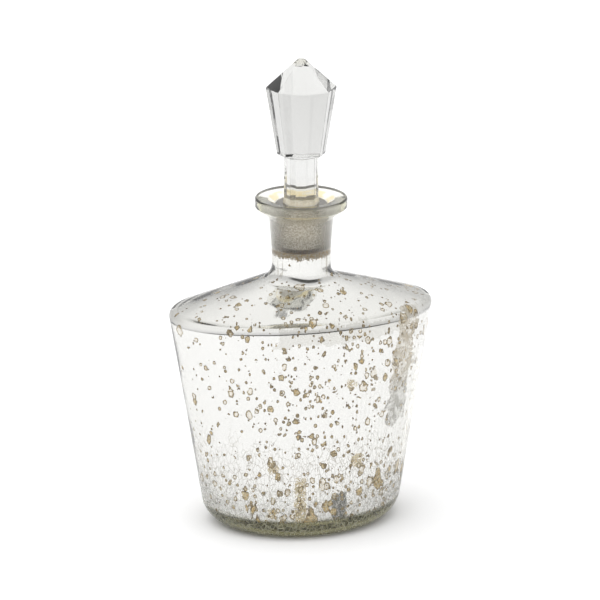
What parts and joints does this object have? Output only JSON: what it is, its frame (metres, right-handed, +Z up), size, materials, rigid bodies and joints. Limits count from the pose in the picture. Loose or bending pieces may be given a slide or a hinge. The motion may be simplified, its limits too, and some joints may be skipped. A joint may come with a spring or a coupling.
{
  "type": "perfume bottle",
  "caption": "Oval silvered-glass perfume bottle with sloping shoulders, a short round neck, a flared lip and a tall faceted cut-glass stopper seated in a ground joint.",
  "frame": {"origin": "middle of the flat foot, on the surface the bottle stands on", "axes": "+Z up through the neck and stopper, X along the long way of the oval body, Y through its shallow way, -Y the front"},
  "size_m": [0.1238, 0.0734, 0.218],
  "materials": {
    "crackle_glass": "clear blown glass, faintly green in the thick foot, crackled inside",
    "silver": "bright silvering with worn spots",
    "lacquer": "amber-brown lacquer behind the silver",
    "cut_glass": "polished cut facets, ground plug"
  },
  "bodies": {
    "bottle": {"bottle_glass": "crackle_glass", "silver_film": "silver", "backing_lacquer": "lacquer"},
    "stopper": {"stopper": "cut_glass"}
  },
  "joints": [
    {"name": "stopper_lift", "type": "slide", "parent": "bottle", "child": "stopper", "axis": [0, 0, 1], "range_m": [0, 0.045]}
  ]
}
